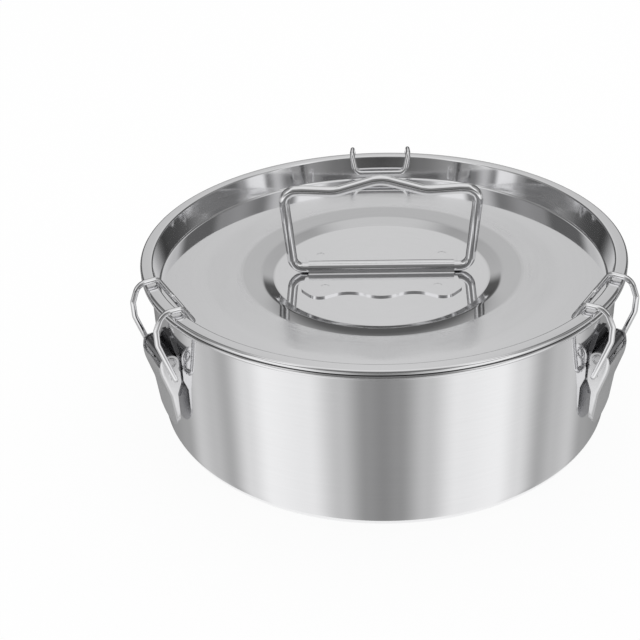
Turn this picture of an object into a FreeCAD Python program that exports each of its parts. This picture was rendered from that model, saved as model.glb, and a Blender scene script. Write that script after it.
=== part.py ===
import FreeCAD, Part
import math
import os
import Sketcher

# A lidded flan mould in sheet steel: a straight pan, a recessed lid that hangs in it, a fold-down
# wire handle in a welded saddle, and three draw latches that pull the lid onto the pan's rim.
# Millimetres, Z up, the underside of the pan's base at Z = 0 on the axis of the mould.

doc = FreeCAD.newDocument("FlanMould")
sheet = doc.addObject("Spreadsheet::Sheet", "dims")

SIZES = [
    # rim, pan and lid
    ("RimTop", 76, "top of the lid's flange above the base"),
    ("PanRad", 99.0, "outside radius of the pan's wall"),
    ("Gauge", 0.6, "sheet of the pan and the lid"),
    ("RimReach", 3.5, "the rolled rims stand out from the pan's wall by this"),
    ("HemGap", 1.0, "space inside a rolled rim"),
    ("HemLap", 0.9, "the turned-under edge of a rim stops this far from the wall"),
    ("PanFoot", 8.0, "outside bend between wall and base"),
    ("NeckBend", 0.4, "bend under a flange, outside of the sheet"),
    ("LidFit", 0.5, "clearance of the lid's recess in the pan"),
    ("LidDepth", 11.2, "depth of the lid's floor under its flange"),
    ("LidDraft", 2.1, "the recess narrows by this down to its floor"),
    ("FloorBend", 1.0, "bend between the lid's wall and floor"),
    ("PanelDepth", 3.4, "depth of the lid's centre panel under its floor"),
    ("PanelRad", 46.75, "radius of the centre panel"),
    ("RampSteep", 5.25, "width of the steep part of the ramp"),
    ("RampDepth", 1.2, "depth where the steep part ends"),
    ("RampShallow", 8.25, "width of the shallow part of the ramp"),
    ("RampBend", 8.0, "rounding between the two parts of the ramp"),
    ("RampTopBend", 2.0, "rounding where the ramp meets the floor"),
    ("PanelBend", 1.0, "bend round the centre panel"),
    # handle and saddle
    ("HandleWire", 2.2, "radius of the handle's wire"),
    ("HandleFit", 0.06, "running clearance round the handle's wire"),
    ("FootClear", 6.55, "from the handle's legs to the edge of the centre panel"),
    ("HandleFlare", 3.0, "the legs spread by this towards the grip"),
    ("HandleCorner", 35.9, "height of the top corners over the hinge"),
    ("GripEndIn", 5.0, "where the wavy grip begins, inward of the feet"),
    ("GripEndUp", 0.4, "height of the grip there over the corners"),
    ("GripDipIn", 13.8, "where the grip dips, inward of its ends"),
    ("GripDipDown", 0.4, "depth of the dips under the corners"),
    ("GripHumpUp", 5.2, "height of the middle hump over the corners"),
    ("HandleFootBend", 5.0, "bend at the foot of each leg"),
    ("HandleCornerBend", 5.0, "bend at each top corner"),
    ("GripEndBend", 10.0, "bend where the grip begins"),
    ("GripBend", 15.0, "bends of the waves"),
    ("HandleSplit", 0.4, "half the gap between the wire's butted ends"),
    ("TunnelClear", 1.6, "straight wire between the tunnel and the foot's bend"),
    ("SaddleGauge", 0.7, "sheet of the saddle"),
    ("SaddleBendFoot", 0.6, "bend at the foot of the saddle's tunnel"),
    ("SaddleWaistOut", 1.2, "the sides stand out past the tunnel by this"),
    ("SaddleWaistY", 6.0, "where the saddle's sides draw in"),
    ("SaddleSideOut", 2.6, "the corners stand out past the tunnel by this"),
    ("SaddleSideBend", 4.0, "rounding of the sides"),
    ("WaveOut", 25.0, "crests of the edge from the hinge"),
    ("WaveDepth", 7.6, "depth of the edge's troughs"),
    ("WaveSide", 8.5, "the sides begin this far inward of the crests"),
    ("LobeIn", 4.2, "the outer crests are this far inward of the tunnel's ends"),
    ("WaveBend", 13.0, "rounding of the waves"),
    ("LobeBend", 6.0, "rounding of the outer crests"),
    ("WeldRad", 1.7, "radius of a spot weld's dimple"),
    ("WeldDeep", 0.12, "depth of a spot weld's dimple"),
    ("WeldBackIn", 0.2, "rear welds, sideways from the outer crests"),
    ("WeldBackDown", 9.4, "rear welds, inward of the crests"),
    ("WeldFrontIn", 3.4, "front welds, sideways from the outer crests"),
    ("WeldFrontDown", 10.8, "front welds, inward of the crests"),
    # latches: outward is away from the mould's axis, and deep is under the lid's flange
    ("LatchCount", 3, "latches round the rim"),
    ("LatchGauge", 0.8, "sheet of brackets and levers"),
    ("PivotDeep", 22.8, "hinge of the lever"),
    ("PinRad", 2.4, "radius of the hinge pin"),
    ("PinFit", 0.06, "running clearance of the lever on its pin"),
    ("PinOver", 0.35, "the pin stands out of the lever by this"),
    ("PinDish", 0.5, "depth of the dish in the pin's ends"),
    ("PinDishWall", 0.7, "rim left round the dish"),
    ("KnuckleGap", 0.2, "from the bracket's knuckle to the pan's wall"),
    ("KnuckleHalf", 9.5, "half length of the rolled knuckle"),
    ("EarGap", 0.3, "clearance between the knuckle and the lever's ears"),
    ("EyeWall", 0.84, "sheet left round the pin in the lever's ears"),
    ("EarWaist", 1.5, "the ears draw in by this between pin and hook"),
    ("LeverInnerBend", 0.6, "inside bend between the lever's face and ears"),
    ("FaceOut", 1.2, "the face lies outward of the eyes by this"),
    ("FaceDrop", 1.5, "upper edge of the face, below the pin"),
    ("FaceTall", 3.0, "height of the face's straight part"),
    ("FaceBend", 20.0, "bend below the straight part"),
    ("LeanIn", 3.3, "the face comes in by this down to its second bend"),
    ("LeanTall", 12.0, "from the straight part to the second bend"),
    ("LeanBend", 12.0, "the second bend"),
    ("TipIn", 1.7, "the tip comes in by this from the second bend"),
    ("TipTall", 17.3, "from the second bend to the tip"),
    ("TipFlat", 1.0, "half width of the tip's straight edge"),
    ("FlangeIn", 1.5, "rear edge of the side flanges, inward of the pin's axis"),
    ("FlangeDrop", 8.0, "the flanges begin this far below the hook"),
    ("FlangeEndDown", 5.0, "the flanges begin to run out this far below the second bend"),
    ("FlangeBend", 3.0, "rounding of the flanges' ends"),
    ("HookIn", 0.6, "hinge of the bail, inward of the pin's axis"),
    ("HookDrop", 7.1, "hinge of the bail, below the pin's axis"),
    ("HookLobe", 2.85, "radius of the ear round the hook"),
    ("BailWire", 1.15, "radius of the bail's wire"),
    ("BailFit", 0.06, "running clearance of the bail in the lever"),
    ("HookReach", 0.9, "the hooked ends reach this far inside the ears"),
    ("LegGap", 1.55, "from the lever's sides to the bail's legs"),
    ("CrossTaper", 1.2, "the bail narrows by this on each side at its crossbar"),
    ("CrossIn", 4.8, "the crossbar lies inward of the inner shoulder by this"),
    ("CrossDeep", 6.6, "the crossbar under the flange"),
    ("ShoulderIn", 1.3, "inner shoulder, inward of the lid's lip"),
    ("ShoulderOut", 1.9, "outer shoulder, outward of the rims"),
    ("ShoulderGap", 0.75, "from the flange to the bail that lies over it"),
    ("KneeOut", 5.0, "knee of the bail, outward of the rims"),
    ("KneeTop", 5.2, "upper end of the knee"),
    ("KneeTall", 6.3, "height of the knee"),
    ("BailBend", 2.5, "bends of the bail"),
    ("CrossBend", 3.2, "bends at the ends of the crossbar"),
    ("ShoulderBend", 5.0, "bends over the rims' outer edge, and at the knee's lower end"),
    ("HookBend", 1.7, "bends at the hooked ends"),
    ("PlateIn", 0.1, "the bracket's plate is narrower than its knuckle by this"),
    ("PlateOver", 8.2, "top of the plate above the pin's axis"),
    ("PlateTopHalf", 4.5, "half width of the plate's top edge"),
    ("PlateShoulder", 2.3, "the plate has its full width from here up to the pin"),
    ("PlateStraight", 11.2, "the plate keeps its width this far below the pin"),
    ("PlateTail", 9.0, "length of the plate's narrowing tail"),
    ("PlateFootHalf", 5.5, "half width of the foot"),
    ("PlateBend", 2.0, "rounding of the plate's outline"),
]
sheet.set("A1", "Size")
sheet.set("B1", "Value")
sheet.set("C1", "Meaning")
for row, (word, number, meaning) in enumerate(SIZES, start=2):
    sheet.set("A%d" % row, word)
    sheet.set("B%d" % row, str(number))
    sheet.set("C%d" % row, meaning)
    sheet.setAlias("B%d" % row, word)
doc.recompute()


class Size:
    """A length that keeps both its number and the expression it comes from."""

    def __init__(self, number, text):
        self.number = float(number)
        self.text = text

    def __add__(self, other):
        other = size(other)
        return Size(self.number + other.number, "(%s + %s)" % (self.text, other.text))

    def __sub__(self, other):
        other = size(other)
        return Size(self.number - other.number, "(%s - %s)" % (self.text, other.text))

    def __mul__(self, other):
        other = size(other)
        return Size(self.number * other.number, "(%s * %s)" % (self.text, other.text))

    def __truediv__(self, other):
        other = size(other)
        return Size(self.number / other.number, "(%s / %s)" % (self.text, other.text))

    def __radd__(self, other):
        return size(other) + self

    def __rsub__(self, other):
        return size(other) - self

    def __rmul__(self, other):
        return size(other) * self

    def __neg__(self):
        return size(-1) * self


def size(value):
    return value if isinstance(value, Size) else Size(value, "(%s)" % value)


def named(word):
    return Size(sheet.get(word), "dims.%s" % word)


def new_body(label):
    body = doc.addObject("PartDesign::Body", label + "_body")
    body.Label = label
    return body


def new_sketch(body, role, name, offset=None):
    """A sketch on one of the body's own planes, moved along the plane's normal by offset."""
    sketch = body.newObject("Sketcher::SketchObject", name)
    plane = [f for f in body.Origin.OriginFeatures if f.Role == role][0]
    sketch.AttachmentSupport = [(plane, "")]
    sketch.MapMode = "FlatFace"
    if offset is not None:
        sketch.setExpression("AttachmentOffset.Base.z", offset.text)
    doc.recompute()
    return sketch


def bind(sketch, constraint, value, name):
    index = sketch.addConstraint(constraint)
    sketch.renameConstraint(index, name)
    sketch.setExpression("Constraints." + name, value.text)


def pin_point(sketch, geo, pos, x, y, name):
    """Hold a point of the sketch at x, y from the sketch's origin."""
    for axis, value, line in (("X", x, -2), ("Y", y, -1)):
        if abs(value.number) < 1e-9:
            sketch.addConstraint(Sketcher.Constraint("PointOnObject", geo, pos, line))
        else:
            item = Sketcher.Constraint("Distance" + axis, -1, 1, geo, pos, value.number)
            bind(sketch, item, value, name + axis)


def outline(sketch, corners, closed=True, tag="c"):
    """Straight lines through named corners; a corner with a radius is rounded by a tangent arc."""
    vec = FreeCAD.Vector
    pts = [vec(size(c[0]).number, size(c[1]).number, 0) for c in corners]
    rads = [size(c[2]) if len(c) > 2 and c[2] is not None else None for c in corners]
    count = len(pts)
    ends = {}
    for i in range(count):
        if rads[i] is None or (not closed and i in (0, count - 1)):
            ends[i] = (pts[i], pts[i])
            continue
        a, b, c = pts[i - 1], pts[i], pts[(i + 1) % count]
        u, w = (a - b).normalize(), (c - b).normalize()
        half = u.getAngle(w) / 2
        reach = rads[i].number / math.tan(half)
        ends[i] = (b + u * reach, b + w * reach)
    lines = []
    spans = count if closed else count - 1
    for i in range(spans):
        j = (i + 1) % count
        lines.append(sketch.addGeometry(Part.LineSegment(ends[i][1], ends[j][0]), False))
    for i in range(count):
        name = "%s%d" % (tag, i)
        x, y = size(corners[i][0]), size(corners[i][1])
        if not closed and i == 0:
            pin_point(sketch, lines[0], 1, x, y, name)
            continue
        if not closed and i == count - 1:
            pin_point(sketch, lines[-1], 2, x, y, name)
            continue
        before, after = lines[i - 1], lines[i % len(lines)]
        if rads[i] is None:
            sketch.addConstraint(Sketcher.Constraint("Coincident", before, 2, after, 1))
            pin_point(sketch, after, 1, x, y, name)
            continue
        p, q = ends[i]
        b = pts[i]
        u, w = (p - b).normalize(), (q - b).normalize()
        radius = rads[i].number
        centre = b + (u + w).normalize() * (radius / math.sin(u.getAngle(w) / 2))
        left = (b - pts[i - 1]).cross(pts[(i + 1) % count] - b).z > 0
        start, end = (p, q) if left else (q, p)
        first = math.atan2(start.y - centre.y, start.x - centre.x)
        last = math.atan2(end.y - centre.y, end.x - centre.x)
        if last < first:
            last += 2 * math.pi
        circle = Part.Circle(centre, vec(0, 0, 1), radius)
        arc = sketch.addGeometry(Part.ArcOfCircle(circle, first, last), False)
        corner = sketch.addGeometry(Part.Point(b), True)
        pin_point(sketch, corner, 1, x, y, name)
        sketch.addConstraint([
            Sketcher.Constraint("PointOnObject", corner, 1, before),
            Sketcher.Constraint("PointOnObject", corner, 1, after),
            Sketcher.Constraint("Tangent", before, 2, arc, 1 if left else 2),
            Sketcher.Constraint("Tangent", arc, 2 if left else 1, after, 1)])
        bind(sketch, Sketcher.Constraint("Radius", arc, radius), rads[i], name + "R")
    return sketch


def circle(sketch, x, y, radius, name="hole"):
    x, y, radius = size(x), size(y), size(radius)
    centre = FreeCAD.Vector(x.number, y.number, 0)
    geo = sketch.addGeometry(Part.Circle(centre, FreeCAD.Vector(0, 0, 1), radius.number), False)
    pin_point(sketch, geo, 3, x, y, name)
    bind(sketch, Sketcher.Constraint("Radius", geo, radius.number), radius, name + "R")


def revolve(body, sketch, name, cut=False):
    kind = "PartDesign::Groove" if cut else "PartDesign::Revolution"
    item = body.newObject(kind, name)
    item.Profile = sketch
    item.ReferenceAxis = (sketch, ["V_Axis"])
    item.Angle = 360
    doc.recompute()
    return item


def pad(body, sketch, name, length, middle=False):
    item = body.newObject("PartDesign::Pad", name)
    item.Profile = sketch
    item.setExpression("Length", length.text)
    if middle:
        item.SideType = "Symmetric"
    doc.recompute()
    return item


def pocket(body, sketch, name, length, middle=False, reverse=False):
    """Cut a pocket and check that it takes material away."""
    before = body.Shape.Volume
    item = body.newObject("PartDesign::Pocket", name)
    item.Profile = sketch
    item.setExpression("Length", length.text)
    if middle:
        item.SideType = "Symmetric"
    item.Reversed = reverse
    doc.recompute()
    if not body.Shape.Volume < before - 1e-6:
        raise RuntimeError("%s cuts nothing" % name)
    return item


def fillet(body, name, radius, wanted):
    """Round the edges of the body that the test picks."""
    base = body.Tip
    picks = ["Edge%d" % (n + 1) for n, edge in enumerate(base.Shape.Edges) if wanted(edge)]
    if not picks:
        raise RuntimeError("%s finds no edge" % name)
    item = body.newObject("PartDesign::Fillet", name)
    item.Base = (base, picks)
    item.setExpression("Radius", radius.text)
    doc.recompute()
    return item


rim_top = named("RimTop")
gauge = named("Gauge")
pan_rad = named("PanRad")
rim_rad = pan_rad + named("RimReach")
hem_tall = 2 * gauge + named("HemGap")
hem_inner = pan_rad + named("HemLap")
hem_inside = 0.45 * named("HemGap")
hem_bend = gauge + hem_inside
neck_bend = named("NeckBend")


def hem(top):
    """Corners of a rim rolled outward and under, from its under edge round to its upper face."""
    low = top - hem_tall
    return [
        (rim_rad - gauge, top - gauge, hem_inside),
        (rim_rad - gauge, low + gauge, hem_inside),
        (hem_inner, low + gauge),
        (hem_inner, low),
        (rim_rad, low, hem_bend),
        (rim_rad, top, hem_bend)]


# the pan
pan_top = rim_top - hem_tall
pan_foot = named("PanFoot")
pan = new_body("pan")
section = new_sketch(pan, "XZ_Plane", "PanSection")
outline(section, [
    (0, 0),
    (pan_rad, 0, pan_foot),
    (pan_rad, pan_top - gauge, neck_bend)]
    + hem(pan_top) + [
    (pan_rad - gauge, pan_top, neck_bend + gauge),
    (pan_rad - gauge, gauge, pan_foot - gauge),
    (0, gauge)])
revolve(pan, section, "PanWall")

# the lid: flange, recess, floor, ramp and centre panel
floor_z = rim_top - named("LidDepth")
panel_z = floor_z - named("PanelDepth")
ramp_z = floor_z - named("RampDepth")
lip_rad = pan_rad - 2 * gauge - named("LidFit")
wall_foot_rad = lip_rad - named("LidDraft")
panel_rad = named("PanelRad")
ramp_rad = panel_rad + named("RampSteep")
ramp_top_rad = ramp_rad + named("RampShallow")
lean = gauge * (lip_rad - wall_foot_rad) / named("LidDepth")
lid = new_body("lid")
section = new_sketch(lid, "XZ_Plane", "LidSection")
outline(section, [
    (0, panel_z - gauge),
    (panel_rad, panel_z - gauge, named("PanelBend") + gauge),
    (ramp_rad, ramp_z - gauge, named("RampBend") - gauge),
    (ramp_top_rad, floor_z - gauge, named("RampTopBend") - gauge),
    (wall_foot_rad + gauge - lean, floor_z - gauge, named("FloorBend") + gauge),
    (lip_rad + gauge - lean, rim_top - gauge, neck_bend)]
    + hem(rim_top) + [
    (lip_rad, rim_top, neck_bend + gauge),
    (wall_foot_rad, floor_z, named("FloorBend")),
    (ramp_top_rad, floor_z, named("RampTopBend")),
    (ramp_rad, ramp_z, named("RampBend")),
    (panel_rad, panel_z, named("PanelBend")),
    (0, panel_z)])
revolve(lid, section, "LidPressing")

# the saddle that holds the handle's wire on the centre panel
wire_rad = named("HandleWire")
handle_fit = named("HandleFit")
hinge_up = wire_rad + handle_fit
bore = wire_rad + handle_fit
saddle_gauge = named("SaddleGauge")
foot_bend = named("HandleFootBend")
foot_x = panel_rad - named("FootClear") - wire_rad
tunnel_half = foot_x - foot_bend - named("TunnelClear")
saddle = new_body("handle_saddle")
saddle.setExpression("Placement.Base.z", panel_z.text)
lobe_x = tunnel_half - named("LobeIn")
pitch = lobe_x / 2
wave_out = named("WaveOut")
wave_in = wave_out - named("WaveDepth")
wave_bend = named("WaveBend")
lobe_bend = named("LobeBend")
side = [
    (tunnel_half, 0),
    (tunnel_half, -(bore + saddle_gauge), named("SaddleBendFoot")),
    (tunnel_half + named("SaddleWaistOut"), -named("SaddleWaistY"), named("SaddleSideBend") / 2),
    (tunnel_half + named("SaddleSideOut"), -(wave_out - named("WaveSide")), named("SaddleSideBend")),
    (lobe_x, -wave_out, lobe_bend),
    (pitch, -wave_in, wave_bend)]


def mirrored(points, flip_x, flip_y):
    turn = []
    for point in points:
        x = -size(point[0]) if flip_x else size(point[0])
        y = -size(point[1]) if flip_y else size(point[1])
        turn.append((x, y) + tuple(point[2:]))
    return turn


half = side[1:] + [(size(0), -wave_out, wave_bend)] + mirrored(side[1:], True, False)[::-1]
back = mirrored(half, True, True)
section = new_sketch(saddle, "XY_Plane", "SaddleOutline")
outline(section, half + back)
pad(saddle, section, "SaddlePlate", saddle_gauge)
section = new_sketch(saddle, "YZ_Plane", "TunnelOutside")
tunnel_out = bore + saddle_gauge
bend_foot = named("SaddleBendFoot")
outline(section, [
    (-(tunnel_out + bend_foot + 0.4), 0),
    (tunnel_out + bend_foot + 0.4, 0),
    (tunnel_out + bend_foot + 0.4, saddle_gauge),
    (tunnel_out, saddle_gauge, bend_foot),
    (tunnel_out, hinge_up + tunnel_out, tunnel_out * 0.98),
    (-tunnel_out, hinge_up + tunnel_out, tunnel_out * 0.98),
    (-tunnel_out, saddle_gauge, bend_foot),
    (-(tunnel_out + bend_foot + 0.4), saddle_gauge)])
pad(saddle, section, "Tunnel", 2 * tunnel_half, middle=True)
section = new_sketch(saddle, "YZ_Plane", "TunnelInside")
outline(section, [
    (-bore, 0),
    (bore, 0),
    (bore, hinge_up + bore, bore * 0.98),
    (-bore, hinge_up + bore, bore * 0.98)])
pocket(saddle, section, "TunnelBore", 2 * tunnel_half + 2, middle=True)
section = new_sketch(saddle, "XY_Plane", "SpotWelds", saddle_gauge)
weld_rad = named("WeldRad")
for sign, word in ((1, "Back"), (-1, "Front")):
    for turn in (1, -1):
        circle(section, turn * (lobe_x - named("Weld%sIn" % word)),
               sign * (wave_out - named("Weld%sDown" % word)),
               weld_rad, "weld%s%s" % (word, "R" if turn > 0 else "L"))
pocket(saddle, section, "WeldDimples", named("WeldDeep"))

# the handle: one length of wire, its ends butted inside the tunnel
handle = new_body("lid_handle")
handle.setExpression("Placement.Base.z", (panel_z + hinge_up).text)
path = new_sketch(handle, "XZ_Plane", "HandlePath")
corner = named("HandleCorner")
grip_x = foot_x - named("GripEndIn")
right = [
    (named("HandleSplit"), size(0)),
    (foot_x, size(0), foot_bend),
    (foot_x + named("HandleFlare"), corner, named("HandleCornerBend")),
    (grip_x, corner + named("GripEndUp"), named("GripEndBend")),
    (grip_x - named("GripDipIn"), corner - named("GripDipDown"), named("GripBend"))]
outline(path, right + [(size(0), corner + named("GripHumpUp"), named("GripBend"))]
        + mirrored(right, True, False)[::-1], closed=False)
ring = new_sketch(handle, "YZ_Plane", "HandleRound", named("HandleSplit"))
circle(ring, 0, 0, wire_rad)
doc.recompute()
sweep = handle.newObject("PartDesign::AdditivePipe", "HandleBend")
sweep.Profile = ring
sweep.Spine = (path, ["Edge%d" % (n + 1) for n in range(len(path.Shape.Edges))])
sweep.Transition = "Transformed"
doc.recompute()

# the latches, all alike, turned about the mould's axis; X is outward, Y along the rim
latch_gauge = named("LatchGauge")
pin_rad = named("PinRad")
pin_hole = pin_rad + named("PinFit")
eye = pin_hole + named("EyeWall")
knuckle_rad = pin_rad + latch_gauge
knuckle_half = named("KnuckleHalf")
pivot_rad = pan_rad + knuckle_rad + named("KnuckleGap")
pivot_z = rim_top - named("PivotDeep")
hook_rad = pivot_rad - named("HookIn")
hook_z = pivot_z - named("HookDrop")
ear_inside = knuckle_half + named("EarGap")
lever_half = ear_inside + latch_gauge
face = pivot_rad + eye + named("FaceOut")
face_top = pivot_z - named("FaceDrop")
straight_z = face_top - named("FaceTall")
lean_rad = face - named("LeanIn")
lean_z = straight_z - named("LeanTall")
tip_rad = lean_rad - named("TipIn")
tip_z = lean_z - named("TipTall")
bail_wire = named("BailWire")


def turn(item, number):
    """Turn a latch piece to its place round the rim; number 0 is at the back."""
    item.Placement.Rotation = FreeCAD.Rotation(FreeCAD.Vector(0, 0, 1), 90)
    item.setExpression("Placement.Rotation.Angle", "90 + %d * 360 / dims.LatchCount" % number)


def bracket(label, number):
    body = new_body(label)
    shape = new_sketch(body, "YZ_Plane", label + "_outline", pan_rad - 3)
    bend = named("PlateBend")
    wide = knuckle_half - named("PlateIn")
    low = pivot_z - named("PlateStraight")
    foot = low - named("PlateTail")
    top = pivot_z + named("PlateOver")
    right = [
        (named("PlateFootHalf"), foot, bend),
        (wide, low, bend),
        (wide, pivot_z + named("PlateShoulder"), bend),
        (named("PlateTopHalf"), top, bend)]
    outline(shape, right + mirrored(right, True, False)[::-1])
    pad(body, shape, label + "_plate", size(7))
    for name, inner, outer in (("seat", pan_rad - 9, pan_rad),
                               ("face", pan_rad + latch_gauge, pan_rad + 12)):
        cut = new_sketch(body, "XZ_Plane", label + "_" + name)
        outline(cut, [(inner, foot - 5), (outer, foot - 5), (outer, top + 5), (inner, top + 5)])
        revolve(body, cut, label + "_cut_" + name, cut=True)
    roll = new_sketch(body, "XZ_Plane", label + "_roll")
    circle(roll, pivot_rad, pivot_z, knuckle_rad)
    pad(body, roll, label + "_knuckle", 2 * knuckle_half, middle=True)
    bore_sketch = new_sketch(body, "XZ_Plane", label + "_bore")
    circle(bore_sketch, pivot_rad, pivot_z, pin_rad)
    pocket(body, bore_sketch, label + "_pinhole", 2 * knuckle_half + 2, middle=True)
    turn(body, number)
    return body


def pin(label, number):
    body = new_body(label)
    rod = new_sketch(body, "XZ_Plane", label + "_round")
    circle(rod, pivot_rad, pivot_z, pin_rad)
    reach = lever_half + named("PinOver")
    pad(body, rod, label + "_rod", 2 * reach, middle=True)
    for name, spot, reverse in (("near", reach - named("PinDish"), True),
                                ("far", -(reach - named("PinDish")), False)):
        dish = new_sketch(body, "XZ_Plane", label + "_dish_" + name, spot)
        circle(dish, pivot_rad, pivot_z, pin_rad - named("PinDishWall"))
        pocket(body, dish, label + "_cut_" + name, named("PinDish") * 2, reverse=reverse)
    turn(body, number)
    return body


def face_edges(half, inward):
    """Pick the edges down a lever's face at this half width, so far inward of its outside."""
    def wanted(edge):
        if edge.BoundBox.YLength > 0.1 or edge.Length < 0.1:
            return False
        for vertex in edge.Vertexes:
            p = vertex.Point
            part = min(max((p.z - tip_z.number) / (lean_z.number - tip_z.number), 0), 1)
            least = tip_rad.number + (lean_rad.number - tip_rad.number) * part - inward - 0.3
            if abs(abs(p.y) - half.number) > 1e-3 or p.x < least or p.z > face_top.number + 1e-3:
                return False
        return True
    return wanted


def lever(label, number):
    body = new_body(label)
    lobe = named("HookLobe")
    flange = pivot_rad - named("FlangeIn")
    flange_bend = named("FlangeBend")
    flange_end = lean_z - named("FlangeEndDown")
    shape = new_sketch(body, "XZ_Plane", label + "_side")
    outline(shape, [
        (pivot_rad - eye, pivot_z + eye, eye * 0.98),
        (pivot_rad - eye, pivot_z - eye, named("EarWaist") * 0.8),
        (hook_rad - lobe + named("EarWaist"), (pivot_z + hook_z) / 2, named("EarWaist") / 3),
        (hook_rad - lobe, hook_z + lobe, lobe * 0.6),
        (hook_rad - lobe, hook_z - lobe, lobe * 0.98),
        (flange, hook_z - named("FlangeDrop"), flange_bend),
        (flange, flange_end, flange_bend),
        (tip_rad - 1.5 * latch_gauge, tip_z),
        (tip_rad, tip_z),
        (lean_rad, lean_z, named("LeanBend")),
        (face, straight_z, named("FaceBend")),
        (face, face_top),
        (pivot_rad + eye, pivot_z + eye, eye * 0.98)])
    pad(body, shape, label + "_block", 2 * lever_half, middle=True)
    inner_bend = named("LeverInnerBend")
    fillet(body, label + "_bend", inner_bend + latch_gauge, face_edges(lever_half, 0))
    hollow = new_sketch(body, "XZ_Plane", label + "_inside")
    outline(hollow, [
        (pan_rad - 6, tip_z - named("TipTall") / 4),
        (tip_rad - latch_gauge - named("TipIn") / 4, tip_z - named("TipTall") / 4),
        (lean_rad - latch_gauge, lean_z, named("LeanBend") - latch_gauge),
        (face - latch_gauge, straight_z, named("FaceBend") - latch_gauge),
        (face - latch_gauge, face_top),
        (face + 6, face_top),
        (face + 6, rim_top - 10),
        (pan_rad - 6, rim_top - 10)])
    pocket(body, hollow, label + "_hollow", 2 * ear_inside, middle=True)
    fillet(body, label + "_inner_bend", inner_bend, face_edges(ear_inside, latch_gauge.number))
    front = new_sketch(body, "YZ_Plane", label + "_front", pan_rad - 6)
    wide = lever_half + 4
    low = tip_z - 4
    tip = lever_half - named("TipFlat")
    outline(front, [
        (-wide, low), (wide, low), (wide, straight_z),
        (lever_half, straight_z), (lever_half, tip_z, tip),
        (-lever_half, tip_z, tip), (-lever_half, straight_z),
        (-wide, straight_z)])
    pocket(body, front, label + "_tip", size(20), reverse=True)
    for name, x, z, radius in (("pinhole", pivot_rad, pivot_z, pin_hole),
                               ("hookhole", hook_rad, hook_z, bail_wire + named("BailFit"))):
        hole = new_sketch(body, "XZ_Plane", label + "_" + name)
        circle(hole, x, z, radius)
        pocket(body, hole, label + "_cut_" + name, 2 * lever_half + 2, middle=True)
    turn(body, number)
    return body


def bent_wire(points, bends, radius):
    """A round wire through points in space with a bend at every inner point."""
    edges = []
    at = points[0]
    for n in range(1, len(points) - 1):
        a, b, c = points[n - 1], points[n], points[n + 1]
        u, w = (a - b).normalize(), (c - b).normalize()
        half_angle = u.getAngle(w) / 2
        reach = bends[n - 1] / math.tan(half_angle)
        p, q = b + u * reach, b + w * reach
        centre = b + (u + w).normalize() * (bends[n - 1] / math.sin(half_angle))
        middle = centre + (b - centre).normalize() * bends[n - 1]
        edges.append(Part.LineSegment(at, p).toShape())
        edges.append(Part.Arc(p, middle, q).toShape())
        at = q
    edges.append(Part.LineSegment(at, points[-1]).toShape())
    spine = Part.Wire(edges)
    ring_edge = Part.Circle(points[0], points[1] - points[0], radius).toShape()
    return spine.makePipeShell([Part.Wire([ring_edge])], True, False)


def bail(label, number):
    """The wire loop of a latch, bent in three planes, so its shape comes from one sweep."""
    leg = lever_half + bail_wire + named("LegGap")
    shoulder_z = rim_top + named("ShoulderGap") + bail_wire
    shoulder_in = lip_rad - named("ShoulderIn")
    knee = rim_rad + named("KneeOut")
    knee_top = rim_top - named("KneeTop")
    bend = named("BailBend")
    half_way = [
        (hook_rad, ear_inside - named("HookReach"), hook_z, size(0)),
        (hook_rad, leg, hook_z, named("HookBend")),
        (knee, leg, knee_top - named("KneeTall"), named("ShoulderBend")),
        (knee, leg, knee_top, bend),
        (rim_rad + named("ShoulderOut"), leg, shoulder_z, named("ShoulderBend")),
        (shoulder_in, leg, shoulder_z, bend),
        (shoulder_in - named("CrossIn"), leg - named("CrossTaper"), rim_top - named("CrossDeep"),
         named("CrossBend"))]
    half_way = [tuple(each.number for each in point) for point in half_way]
    other = [(x, -y, z, radius) for x, y, z, radius in half_way[::-1]]
    full = half_way + other
    points = [FreeCAD.Vector(*each[:3]) for each in full]
    bends = [each[3] for each in full[1:-1]]
    item = doc.addObject("Part::Feature", label + "_wire")
    item.Label = label
    item.Shape = bent_wire(points, bends, bail_wire.number)
    turn(item, number)
    return item


pieces = [pan, lid, saddle, handle]
for number, place in enumerate(("back", "left", "right")):
    pieces.append(bracket("latch_bracket_" + place, number))
    pieces.append(pin("latch_pin_" + place, number))
    pieces.append(lever("latch_lever_" + place, number))
    pieces.append(bail("latch_bail_" + place, number))

doc.recompute()
for item in doc.Objects:
    if "Invalid" in item.State or "Error" in item.State:
        raise RuntimeError("%s does not compute" % item.Label)
os.makedirs("parts", exist_ok=True)
for item in pieces:
    shape = item.Shape
    if shape.isNull() or not shape.isValid() or len(shape.Solids) != 1:
        raise RuntimeError("%s is not one sound solid" % item.Label)
    shape.exportStep("parts/%s.step" % item.Label)
    box = shape.BoundBox
    print("%-22s %8.1f mm3  x %.1f..%.1f  y %.1f..%.1f  z %.1f..%.1f" % (
        item.Label, shape.Volume, box.XMin, box.XMax, box.YMin, box.YMax, box.ZMin, box.ZMax))
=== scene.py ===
import bmesh
import bpy
import math
from mathutils import Matrix, Vector


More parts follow.
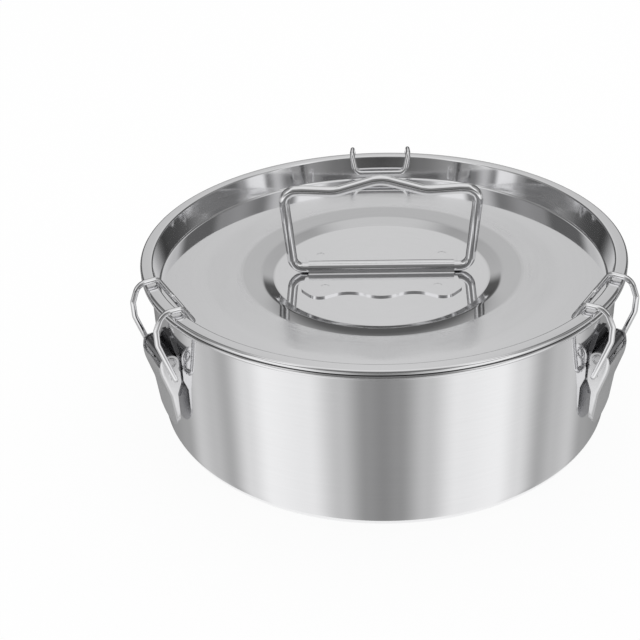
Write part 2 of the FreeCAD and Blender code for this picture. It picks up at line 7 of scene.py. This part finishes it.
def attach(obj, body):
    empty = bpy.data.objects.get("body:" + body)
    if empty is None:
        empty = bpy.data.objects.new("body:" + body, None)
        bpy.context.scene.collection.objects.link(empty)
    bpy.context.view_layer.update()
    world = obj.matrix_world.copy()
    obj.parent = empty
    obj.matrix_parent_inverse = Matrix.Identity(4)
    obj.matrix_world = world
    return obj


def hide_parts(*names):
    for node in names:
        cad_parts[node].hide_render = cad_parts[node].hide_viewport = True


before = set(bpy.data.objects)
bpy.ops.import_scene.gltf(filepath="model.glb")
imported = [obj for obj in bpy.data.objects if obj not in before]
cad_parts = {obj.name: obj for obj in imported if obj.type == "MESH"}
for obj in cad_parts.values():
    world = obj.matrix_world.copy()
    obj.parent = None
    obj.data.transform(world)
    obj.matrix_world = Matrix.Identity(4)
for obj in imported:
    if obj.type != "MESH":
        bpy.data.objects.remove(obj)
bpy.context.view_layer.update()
MM = 0.001
PLACES = ("back", "left", "right")

# sizes in millimetres, as in the solids
GAUGE = 0.6
RIM_TOP, RIM_RAD, HEM_TALL, HEM_EDGE, HEM_BEND, HEM_LIP = 76.0, 102.5, 2.2, 99.9, 1.05, 0.25
PAN_RAD, BASE_BEND, MOUTH_BEND = 99.0, 8.0, 1.0
LIP_RAD, WALL_FOOT, FLOOR_RAD, RAMP_RAD, PANEL_RAD = 97.3, 95.2, 60.25, 52.0, 46.75
FLOOR_Z, RAMP_Z, PANEL_Z = 64.8, 63.6, 61.4
FOOT_BEND, FLOOR_BEND, RAMP_BEND, PANEL_BEND = 1.0, 2.0, 8.0, 1.0
WIRE, HINGE_Z = 2.2, 63.66
BAIL_WIRE = 1.15
ROUND_STEPS = 360


def arc_corner(a, b, c, radius, step):
    """Points of a tangent arc that rounds corner b, at most step degrees apart."""
    a, b, c = Vector(a), Vector(b), Vector(c)
    u, w = (a - b).normalized(), (c - b).normalized()
    half = u.angle(w) / 2
    reach = radius / math.tan(half)
    middle = b + (u + w).normalized() * (radius / math.sin(half))
    p, q = b + u * reach, b + w * reach
    count = max(3, math.ceil(math.degrees(math.pi - 2 * half) / step))
    start, end = p - middle, q - middle
    turn = start.angle(end)
    if turn < 1e-6:
        return [b]
    points = []
    for k in range(count + 1):
        t = k / count
        points.append(middle + start * (math.sin((1 - t) * turn) / math.sin(turn))
                      + end * (math.sin(t * turn) / math.sin(turn)))
    return points


def rounded(corners, step=8.0):
    """Points along straight runs whose corners are rounded; each corner is (point, radius)."""
    points = []
    for i, (b, radius) in enumerate(corners):
        if i in (0, len(corners) - 1) or not radius:
            points.append(Vector(b))
        else:
            points += arc_corner(corners[i - 1][0], b, corners[i + 1][0], radius, step)
    return points


def finish_mesh(name, mesh, sharp):
    """An object with smooth shading, apart from edges that bend by more than sharp degrees."""
    mesh.validate()
    for face in mesh.polygons:
        face.use_smooth = True
    mesh.set_sharp_from_angle(angle=math.radians(sharp))
    piece = bpy.data.objects.new(name, mesh)
    bpy.context.scene.collection.objects.link(piece)
    return piece


def revolve(name, section):
    """Turn a section of (radius, height) points, pole to pole, round the Z axis."""
    mesh = bmesh.new()
    rings = []
    for r, z in section:
        if r < 1e-6:
            rings.append([mesh.verts.new((0, 0, z * MM))])
            continue
        turns = (2 * math.pi * k / ROUND_STEPS for k in range(ROUND_STEPS))
        rings.append([mesh.verts.new((r * MM * math.cos(turn), r * MM * math.sin(turn), z * MM))
                      for turn in turns])
    for low, high in zip(rings, rings[1:]):
        for k in range(ROUND_STEPS):
            j = (k + 1) % ROUND_STEPS
            if len(low) == 1:
                mesh.faces.new((low[0], high[j], high[k]))
            elif len(high) == 1:
                mesh.faces.new((low[k], low[j], high[0]))
            else:
                mesh.faces.new((low[k], low[j], high[j], high[k]))
    bmesh.ops.recalc_face_normals(mesh, faces=mesh.faces)
    data = bpy.data.meshes.new(name)
    mesh.to_mesh(data)
    mesh.free()
    return finish_mesh(name, data, 35.0)


def tube(name, corners, radius, sides, step, nose):
    """A round wire along a bent path, its ends chamfered by nose."""
    points = rounded(corners, step)
    path = [points[0]]
    for point in points[1:]:
        if (point - path[-1]).length > 1e-4:
            path.append(point)
    mesh = bmesh.new()
    along = (path[1] - path[0]).normalized()
    across = along.orthogonal().normalized()

    def ring(centre, direction, size):
        other = direction.cross(across).normalized()
        turns = (2 * math.pi * k / sides for k in range(sides))
        return [mesh.verts.new((centre + (across * math.cos(turn) + other * math.sin(turn)) * size) * MM)
                for turn in turns]

    rings = [ring(path[0], along, radius - nose)]
    for i, point in enumerate(path):
        before = (point - path[i - 1]).normalized() if i else along
        after = (path[i + 1] - point).normalized() if i < len(path) - 1 else before
        direction = (before + after).normalized()
        across = (across - direction * across.dot(direction)).normalized()
        centre = point
        if i == 0:
            centre = point + after * nose
        if i == len(path) - 1:
            centre = point - before * nose
        rings.append(ring(centre, direction, radius))
    rings.append(ring(path[-1], direction, radius - nose))
    for low, high in zip(rings, rings[1:]):
        for k in range(sides):
            j = (k + 1) % sides
            mesh.faces.new((low[k], low[j], high[j], high[k]))
    mesh.faces.new(rings[0][::-1])
    mesh.faces.new(rings[-1])
    bmesh.ops.recalc_face_normals(mesh, faces=mesh.faces)
    data = bpy.data.meshes.new(name)
    mesh.to_mesh(data)
    mesh.free()
    return finish_mesh(name, data, 50.0)


def smooth_copy(name, node, edge):
    """A node's own mesh with welded vertices, smooth shading and sheet edges softened by edge."""
    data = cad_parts[node].data.copy()
    data.name = name
    mesh = bmesh.new()
    mesh.from_mesh(data)
    bmesh.ops.remove_doubles(mesh, verts=mesh.verts, dist=0.002 * MM)
    bmesh.ops.dissolve_limit(mesh, angle_limit=math.radians(0.6), verts=mesh.verts, edges=mesh.edges)
    mesh.to_mesh(data)
    mesh.free()
    data.materials.clear()
    piece = finish_mesh(name, data, 28.0)
    if edge:
        bevel = piece.modifiers.new("SoftEdge", "BEVEL")
        bevel.width = edge * MM
        bevel.segments = 2
        bevel.limit_method = "ANGLE"
        bevel.angle_limit = math.radians(40)
    shading = piece.modifiers.new("FlatFaces", "WEIGHTED_NORMAL")
    shading.mode = "FACE_AREA"
    shading.weight = 100
    shading.keep_sharp = True
    return piece


# materials
def node_of(tree, kind, x, y, sources=None, **values):
    """A new node; sources gives its inputs, by name or number, a socket or a plain value."""
    node = tree.nodes.new(kind)
    node.location = (x, y)
    for key, value in values.items():
        setattr(node, key, value)
    for key, source in (sources or {}).items():
        if isinstance(source, bpy.types.NodeSocket):
            tree.links.new(source, node.inputs[key])
        else:
            node.inputs[key].default_value = source
    return node


def reckon(tree, x, y, operation, *sources, **values):
    """The result of a math node."""
    return node_of(tree, "ShaderNodeMath", x, y, dict(enumerate(sources)), operation=operation,
                   **values).outputs[0]


def mixed(tree, x, y, factor, first, second, **values):
    """A mix of two colours, in which factor is the share of the second."""
    return node_of(tree, "ShaderNodeMix", x, y, {0: factor, 6: first, 7: second}, data_type="RGBA",
                   **values).outputs[2]


def noise(tree, x, y, scale, detail, point):
    return node_of(tree, "ShaderNodeTexNoise", x, y,
                   {"Scale": scale, "Detail": detail, "Vector": point}).outputs[0]


def grey_ramp(tree, x, y, marks, source, kind="EASE"):
    """A grey ramp; marks are (position from 0 to 1, level)."""
    ramp = node_of(tree, "ShaderNodeValToRGB", x, y, {0: source})
    ramp.color_ramp.interpolation = kind
    elements = ramp.color_ramp.elements
    while len(elements) > 1:
        elements.remove(elements[-1])
    for number, (spot, level) in enumerate(marks):
        element = elements[0] if number == 0 else elements.new(spot)
        element.position = spot
        element.color = (level, level, level, 1)
    return ramp.outputs["Color"]


# painted shade on the rolled rims, by height in mm: dark in the gap under each rim, where shade falls
RIM_GAP_SHADE = ((70.0, 1.0), (71.2, 1.0), (71.55, 0.35), (71.75, 0.35), (72.2, 1.0), (73.3, 1.0),
         (73.6, 0.3), (74.0, 0.3), (74.3, 1.0), (RIM_TOP, 1.0))
RIM_GAP_SHADE_RAD = PAN_RAD + 0.3
TURNED_SHARE = 0.004
DENT_DEPTH = 0.0002


def round_axis(tree, point):
    """Radius, height, and a point for grain that runs round the axis, so it changes little there."""
    split = node_of(tree, "ShaderNodeSeparateXYZ", -1200, 0, {0: point})
    x, y, height = split.outputs
    angle = reckon(tree, -1020, 120, "ARCTAN2", y, x)
    slow = reckon(tree, -860, 120, "MULTIPLY", angle, TURNED_SHARE)
    flat = node_of(tree, "ShaderNodeCombineXYZ", -1020, -60, {0: x, 1: y})
    length = node_of(tree, "ShaderNodeVectorMath", -860, -60, {0: flat.outputs[0]}, operation="LENGTH")
    radius = length.outputs["Value"]
    joined = node_of(tree, "ShaderNodeCombineXYZ", -700, 0, {0: radius, 1: slow, 2: height})
    return radius, height, joined.outputs[0]


def zone_ramps(tree, zones, radius):
    """Tone and roughness at a radius, from (radius in mm, tone, roughness) marks."""
    reach = zones[-1][0]
    share = reckon(tree, -520, 560, "DIVIDE", radius, reach * MM)
    return [grey_ramp(tree, -300, y, [(mark[0] / reach, mark[part]) for mark in zones], share, "LINEAR")
            for part, y in ((1, 640), (2, 900))]


# painted shade: the outer face of the rolled rims darkened in the gaps under the lid's and the pan's
# rims
def painted_gap_shade(tree, radius, height):
    low, high = RIM_GAP_SHADE[0][0], RIM_GAP_SHADE[-1][0]
    share = node_of(tree, "ShaderNodeMapRange", -520, 1160,
                    {"From Min": low * MM, "From Max": high * MM, "Value": height})
    painted_groove_shade = grey_ramp(tree, -300, 1160, [((z - low) / (high - low), tone) for z, tone in RIM_GAP_SHADE],
                       share.outputs["Result"], "LINEAR")
    outer = reckon(tree, -300, 1400, "GREATER_THAN", radius, RIM_GAP_SHADE_RAD * MM)
    return mixed(tree, -60, 1160, outer, (1, 1, 1, 1), painted_groove_shade)


def steel(name, colour, roughness, grain, grain_scale, dents, dent_scale, zones=None):
    """Polished steel: a bright metal with fine grain in its gloss and soft unevenness of the sheet.

    zones is for turned sheet alone: (radius in mm, tone, roughness) marks outward from the axis,
    and a tone below 1 in them is painted shade.
    roughness is then a factor on theirs."""
    material = bpy.data.materials.new(name)
    material.use_nodes = True
    tree = material.node_tree
    shader = tree.nodes["Principled BSDF"]
    shader.inputs["Metallic"].default_value = 1.0
    point = node_of(tree, "ShaderNodeTexCoord", -1400, 0).outputs["Object"]
    grain_point = point
    if zones:
        radius, height, grain_point = round_axis(tree, point)
    fine = noise(tree, -520, 120, grain_scale, 4.0, grain_point)
    gloss = node_of(tree, "ShaderNodeMapRange", -300, 60, {
        "From Min": 0.3, "From Max": 0.7, "To Min": roughness * (1 - grain),
        "To Max": roughness * (1 + grain), "Value": fine}).outputs["Result"]
    tint = mixed(tree, -300, 320, fine, tuple(c * 0.975 for c in colour) + (1,),
                 tuple(min(1, c * 1.02) for c in colour) + (1,))
    if zones:
        tone, satin = zone_ramps(tree, zones, radius)
        # painted shade: the rims' dark gaps and the zones' tone multiply the colour
        gap_shade = painted_gap_shade(tree, radius, height)
        toned = mixed(tree, -60, 420, 1.0, tint, tone, blend_type="MULTIPLY")
        tint = mixed(tree, 120, 420, 1.0, toned, gap_shade, blend_type="MULTIPLY")
        gloss = reckon(tree, -60, 60, "MULTIPLY", satin, gloss)
    tree.links.new(tint, shader.inputs["Base Color"])
    tree.links.new(gloss, shader.inputs["Roughness"])
    wide = noise(tree, -520, -220, dent_scale, 1.0, point)
    bump = node_of(tree, "ShaderNodeBump", -300, -200,
                   {"Strength": dents, "Distance": DENT_DEPTH, "Height": wide})
    tree.links.new(bump.outputs[0], shader.inputs["Normal"])
    return material


body_steel = steel("SteelWall", (0.86, 0.86, 0.87), 1.0, 0.25, 900, 0.03, 18, [
    (0, 1.0, 0.07), (105.0, 1.0, 0.07)])
# the lid's ramp is painted a little darker, painted shade for the darker reflection it shows, and its
# floor satin next to the ramp
lid_steel = steel("SteelLid", (0.86, 0.86, 0.87), 1.0, 0.25, 900, 0.02, 16, [
    (0, 1.0, 0.05), (46.0, 1.0, 0.05), (47.2, 0.76, 0.06), (59.6, 0.76, 0.06), (61.2, 1.0, 0.23),
    (74.0, 1.0, 0.20), (79.0, 1.0, 0.05), (105.0, 1.0, 0.06)])
saddle_steel = steel("SteelSaddle", (0.87, 0.87, 0.88), 0.12, 0.15, 300, 0.02, 60)
wire_steel = steel("SteelWire", (0.90, 0.90, 0.91), 0.06, 0.3, 900, 0.03, 80)
lever_steel = steel("SteelLever", (0.84, 0.84, 0.85), 0.24, 0.1, 300, 0.02, 90)
# the brackets' steel is painted dark: painted shade, standing in for the dark reflections they show
bracket_shaded_steel = steel("SteelBracketShaded", (0.30, 0.30, 0.31), 0.10, 0.15, 300, 0.08, 90)
pin_steel = steel("SteelPin", (0.80, 0.80, 0.81), 0.14, 0.15, 300, 0.04, 90)


def dress(piece, body, material):
    piece.data.materials.append(material)
    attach(piece, body)


def rim(top):
    """Corners of a rolled rim, from its under edge round to its upper face."""
    low = top - HEM_TALL
    inner = HEM_BEND - GAUGE
    return [((RIM_RAD - GAUGE, top - GAUGE), inner), ((RIM_RAD - GAUGE, low + GAUGE), inner),
            ((HEM_EDGE, low + GAUGE), HEM_LIP), ((HEM_EDGE, low), HEM_LIP),
            ((RIM_RAD, low), HEM_BEND), ((RIM_RAD, top), HEM_BEND)]


def pan_face(top, inset):
    """Corners of the pan's sheet from the axis up to its mouth, inset from its outer face."""
    return [((0, inset), 0), ((PAN_RAD - inset, inset), BASE_BEND - inset),
            ((PAN_RAD - inset, top - GAUGE + inset), MOUTH_BEND - GAUGE + inset)]


def lid_face(depth):
    """Corners of the lid's sheet from the axis up to its mouth, depth below its upper face."""
    shift = depth * (1 - (LIP_RAD - WALL_FOOT) / (RIM_TOP - FLOOR_Z))
    return [((0, PANEL_Z - depth), 0), ((PANEL_RAD, PANEL_Z - depth), PANEL_BEND + depth),
            ((RAMP_RAD, RAMP_Z - depth), RAMP_BEND - depth),
            ((FLOOR_RAD, FLOOR_Z - depth), FLOOR_BEND - depth),
            ((WALL_FOOT + shift, FLOOR_Z - depth), FOOT_BEND + depth),
            ((LIP_RAD + shift, RIM_TOP - depth), MOUTH_BEND - depth)]


def section_of(corners):
    """Points (radius, height) of a sheet's section, from its flat corners."""
    return [(p.x, p.y) for p in rounded([((x, y, 0.0), r) for (x, y), r in corners])]


# the pan, its rolled rim just under the lid's
pan_top = RIM_TOP - HEM_TALL
pan = revolve("PanShell", section_of(
    pan_face(pan_top, 0) + rim(pan_top) + pan_face(pan_top, GAUGE)[::-1]))
dress(pan, "mould", body_steel)
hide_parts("pan")

# the lid
lid = revolve("LidShell", section_of(lid_face(GAUGE) + rim(RIM_TOP) + lid_face(0)[::-1]))
dress(lid, "mould", lid_steel)
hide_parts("lid")

# the saddle, from its solid
saddle = smooth_copy("HandleSaddle", "handle_saddle", 0)
dress(saddle, "mould", saddle_steel)
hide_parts("handle_saddle")

# the handle's wire: (corner from the hinge, bend) from the middle of the tunnel up to the grip's hump
half = [((0.4, 0, 0), 0), ((38.0, 0, 0), 5.0), ((41.0, 0, 35.9), 5.0), ((33.0, 0, 36.3), 10.0),
        ((19.2, 0, 35.5), 15.0)]
hump = ((0, 0, 41.1), 15.0)
other_half = [((-x, y, z), r) for (x, y, z), r in half[::-1]]
handle_path = [((x, y, z + HINGE_Z), r) for (x, y, z), r in half + [hump] + other_half]
handle = tube("HandleWire", handle_path, WIRE, sides=28, step=5.0, nose=0.35)
dress(handle, "handle", wire_steel)
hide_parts("lid_handle")

# the latches; a bail is drawn on the X side as (corner, bend), from its hooked end to its crossbar
bail_half = [((101.8, 8.9, 46.1), 0), ((101.8, 13.3, 46.1), 1.7), ((107.5, 13.3, 64.5), 5.0),
             ((107.5, 13.4, 70.8), 2.5), ((104.4, 13.8, 77.9), 5.0), ((96.0, 14.1, 77.9), 2.5),
             ((91.2, 12.1, 69.4), 3.2)]
bail_path = bail_half + [((x, -y, z), r) for (x, y, z), r in bail_half[::-1]]
for number, place in enumerate(PLACES):
    turn = Matrix.Rotation(math.radians(90 + 120 * number), 3, "Z")
    path = [(turn @ Vector(point), radius) for point, radius in bail_path]
    bail = tube("Bail_" + place, path, BAIL_WIRE, sides=20, step=6.0, nose=0.3)
    dress(bail, "bail_" + place, wire_steel)
    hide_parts("latch_bail_" + place)
    for kind, body, edge, material in (("bracket", "mould", 0.12, bracket_shaded_steel),
                                       ("pin", "mould", 0.25, pin_steel),
                                       ("lever", "lever_" + place, 0.12, lever_steel)):
        node = "latch_%s_%s" % (kind, place)
        piece = smooth_copy("%s_%s" % (kind.capitalize(), place), node, edge)
        dress(piece, body, material)
        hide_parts(node)


# floor and world: white to the camera and to the steel, and the floor keeps a soft shadow
def blank_tree(owner):
    owner.use_nodes = True
    owner.node_tree.nodes.clear()
    return owner.node_tree


def seen(tree, x, y, strength):
    """strength for camera, glossy and transmission rays, and none for the light that falls."""
    ray = node_of(tree, "ShaderNodeLightPath", x, y).outputs
    first = reckon(tree, x + 200, y, "ADD", ray["Is Camera Ray"], ray["Is Glossy Ray"])
    every = reckon(tree, x + 380, y, "ADD", first, ray["Is Transmission Ray"], use_clamp=True)
    return reckon(tree, x + 560, y, "MULTIPLY", every, strength)


bpy.ops.mesh.primitive_plane_add(size=6.0, location=(0, 0, -0.0002))
floor = bpy.context.object
floor.name = "Floor"
floor_material = bpy.data.materials.new("FloorPale")
tree = blank_tree(floor_material)
matte = node_of(tree, "ShaderNodeBsdfDiffuse", 0, -100, {"Color": (0.9, 0.9, 0.9, 1)})
glow = node_of(tree, "ShaderNodeEmission", 0, -250)
pick = node_of(tree, "ShaderNodeMixShader", 350, 0,
               {0: seen(tree, -700, 200, 0.93), 1: matte.outputs[0], 2: glow.outputs[0]})
node_of(tree, "ShaderNodeOutputMaterial", 600, 0, {"Surface": pick.outputs[0]})
floor.data.materials.append(floor_material)

world = bpy.data.worlds.new("Studio")
bpy.context.scene.world = world
tree = blank_tree(world)
soft = node_of(tree, "ShaderNodeBackground", 200, 100, {"Color": (0.85, 0.85, 0.85, 1)})
white = node_of(tree, "ShaderNodeBackground", 200, -60, {"Color": (1, 1, 1, 1)})
pick = node_of(tree, "ShaderNodeMixShader", 420, 60,
               {0: seen(tree, -500, 300, 1.0), 1: soft.outputs[0], 2: white.outputs[0]})
node_of(tree, "ShaderNodeOutputWorld", 620, 60, {"Surface": pick.outputs[0]})


# studio cards: grey panels round and on the table, which only the polished steel's reflections show
def card(name, piece, shade):
    """Make a piece a glowing card; shade(tree) gives its tone."""
    material = bpy.data.materials.new(name)
    tree = blank_tree(material)
    glow = node_of(tree, "ShaderNodeEmission", 200, 0, {"Color": shade(tree)})
    node_of(tree, "ShaderNodeOutputMaterial", 400, 0, {"Surface": glow.outputs[0]})
    piece.data.materials.clear()
    piece.data.materials.append(material)
    for kind in ("camera", "diffuse", "transmission", "volume_scatter", "shadow"):
        setattr(piece, "visible_" + kind, False)


# tones by the angle round the axis, in degrees from the front of the mould to its back: of the
# table and the foot of the tent, of the tent's ring, of its roof, and how far dusk falls on the ring
LOW = ((0, 0.27), (8, 0.31), (22, 0.58), (38, 0.90), (60, 0.97), (72, 0.78), (86, 0.44), (96, 0.54),
       (108, 0.62), (122, 0.38), (140, 0.32), (160, 0.22), (180, 0.30))
HIGH = ((0, 0.20), (22, 0.23), (34, 0.45), (43, 1.0), (56, 1.0), (62, 0.25), (72, 0.60), (84, 0.22),
        (100, 0.34), (114, 0.30), (124, 0.14), (146, 0.14), (160, 0.60), (180, 0.70))
OVER = ((0, 0.75), (60, 0.75), (96, 0.8), (180, 0.8))
ENDS = ((0, 0.85), (46, 0.8), (60, 0.2), (76, 0.2), (88, 0.7), (140, 0.6), (156, 1), (180, 1))
# marks by the height over the table, from 0 at the horizon to 1 overhead: where the ring takes over
# from the foot, where the roof begins, and dusk, which is dark near the horizon
LIFT = ((0, 0), (0.04, 0), (0.16, 1), (1, 1))
ROOF = ((0, 0), (0.60, 0), (0.72, 1), (1, 1))
DUSK = ((0, 0.16), (0.17, 0.18), (0.26, 0.96), (1, 0.96))


def by_angle(tree, x, y, marks, source):
    """A grey ramp whose marks are in degrees, for a source from 0 at the front to 1 at the back."""
    return grey_ramp(tree, x, y, [(angle / 180, level) for angle, level in marks], source)


def tent_shade(tree):
    place = node_of(tree, "ShaderNodeTexCoord", -2000, 0)
    ray = node_of(tree, "ShaderNodeVectorMath", -1800, 0, {0: place.outputs["Object"]},
                  operation="NORMALIZE")
    x, y, z = node_of(tree, "ShaderNodeSeparateXYZ", -1600, 0, {0: ray.outputs[0]}).outputs
    swing = reckon(tree, -1220, 100, "ARCTAN2", x, reckon(tree, -1400, 100, "MULTIPLY", y, -1.0))
    share = reckon(tree, -900, 100, "DIVIDE", reckon(tree, -1060, 100, "ABSOLUTE", swing), math.pi)
    rise = reckon(tree, -900, -200, "DIVIDE", reckon(tree, -1220, -200, "ARCSINE", z), math.pi / 2)
    low = by_angle(tree, -600, 300, LOW, share)
    high = by_angle(tree, -600, 0, HIGH, share)
    over = by_angle(tree, -600, -280, OVER, share)
    lift = grey_ramp(tree, -600, -560, LIFT, rise)
    roof = grey_ramp(tree, -600, -840, ROOF, rise)
    dusk = grey_ramp(tree, -600, -1120, DUSK, rise)
    ends = by_angle(tree, -600, -1400, ENDS, share)
    ring = mixed(tree, -300, 100, lift, low, high)
    shaded = mixed(tree, -120, 100, ends, ring, dusk, blend_type="MULTIPLY")
    return mixed(tree, 40, 100, roof, shaded, over)


bpy.ops.mesh.primitive_uv_sphere_add(segments=96, ring_count=48, radius=2.6, location=(0, 0, 0))
tent = bpy.context.object
tent.name = "CardTent"
card("CardTentGrey", tent, tent_shade)

# the fan, in metres: where the eye stands behind the front of the table, and where strips begin and end
EYE_BACK, FAN_START, FAN_FAR, FAN_Z = 0.422, (PAN_RAD + 0.5) * MM, 2.0, 0.0001
FAN_BACK_TONE = math.radians(40)


def fan_ray(phi):
    """Direction of the fan's strip from the pan's wall at phi, and the angle that gives its tone."""
    edge = math.acos(FAN_START / EYE_BACK)
    if abs(phi) < edge:
        # in sight of the eye: the way that the wall mirrors the eye's ray
        normal = Vector((math.sin(phi), -math.cos(phi)))
        ray = FAN_START * normal - Vector((0, -EYE_BACK))
        ray = ray - 2 * ray.dot(normal) * normal
        return ray.normalized(), abs(math.atan2(ray.x, -ray.y))
    # behind: the strips close round the back
    last = math.pi / 2 + edge
    part = (abs(phi) - edge) / (math.pi - edge)
    turned = last + (math.pi - last) * part
    ray = Vector((math.copysign(math.sin(turned), phi), -math.cos(turned)))
    return ray, last - (last - FAN_BACK_TONE) * part


def card_fan(name):
    """Strips on the table that spread from the pan's wall, so that it mirrors them as upright bands."""
    mesh = bmesh.new()
    tone = mesh.loops.layers.uv.new("UVMap")
    rows, marks = [], []
    for step in range(-360, 361):
        phi = math.radians(step / 2)
        start = FAN_START * Vector((math.sin(phi), -math.cos(phi)))
        ray, angle = fan_ray(phi)
        rows.append([mesh.verts.new((*(start + reach * ray), FAN_Z))
                     for reach in (0, 0.02, 0.05, 0.1, 0.2, 0.5, FAN_FAR)])
        marks.append(angle / math.pi)
    for near, after, low, high in zip(rows, rows[1:], marks, marks[1:]):
        for k in range(len(near) - 1):
            face = mesh.faces.new((near[k], near[k + 1], after[k + 1], after[k]))
            for loop, value in zip(face.loops, (low, low, high, high)):
                loop[tone].uv = (value, 0.5)
    data = bpy.data.meshes.new(name)
    mesh.to_mesh(data)
    mesh.free()
    piece = bpy.data.objects.new(name, data)
    bpy.context.scene.collection.objects.link(piece)
    return piece


def fan_shade(tree):
    place = node_of(tree, "ShaderNodeTexCoord", -800, 0)
    split = node_of(tree, "ShaderNodeSeparateXYZ", -600, 0, {0: place.outputs["UV"]})
    return by_angle(tree, -300, 0, LOW, split.outputs["X"])


card("CardFanGrey", card_fan("CardFan"), fan_shade)

# a soft lamp overhead, for the floor's shadow
lamp = bpy.data.lights.new("TopSoftbox", "AREA")
lamp.shape = "RECTANGLE"
lamp.size = lamp.size_y = 1.2
lamp.energy = 5
holder = bpy.data.objects.new("TopSoftbox", lamp)
bpy.context.scene.collection.objects.link(holder)
holder.location = (0.1, 0.25, 1.4)
holder.rotation_euler = (-holder.location).to_track_quat("-Z", "Y").to_euler()
holder.visible_glossy = False

# camera, fitted to the rim, the base and the latches of the photograph
FOCAL_PX, FRAME_PX, SENSOR = 1094.4, 640, 36.0
ELEVATION, PAN_ANGLE, PITCH, ROLL = (math.radians(a) for a in (26.14, -3.73, 30.17, -2.43))
DISTANCE = 0.4703
lens = bpy.data.cameras.new("Camera")
lens.sensor_width = SENSOR
lens.lens = FOCAL_PX * SENSOR / FRAME_PX
lens.clip_start, lens.clip_end = 0.01, 20
camera = bpy.data.objects.new("Camera", lens)
bpy.context.scene.collection.objects.link(camera)
forward = Vector((math.sin(PAN_ANGLE) * math.cos(PITCH), math.cos(PAN_ANGLE) * math.cos(PITCH),
                  -math.sin(PITCH)))
right = Vector((math.cos(PAN_ANGLE), -math.sin(PAN_ANGLE), 0))
up = right.cross(forward)
side = right * math.cos(ROLL) + up * math.sin(ROLL)
top = up * math.cos(ROLL) - right * math.sin(ROLL)
stand = Matrix((side, top, -forward)).transposed().to_4x4()
stand.translation = Vector((0, -DISTANCE * math.cos(ELEVATION),
                            DISTANCE * math.sin(ELEVATION) + RIM_TOP * MM))
camera.matrix_world = stand
bpy.context.scene.camera = camera
bpy.context.scene.view_settings.view_transform = "Standard"
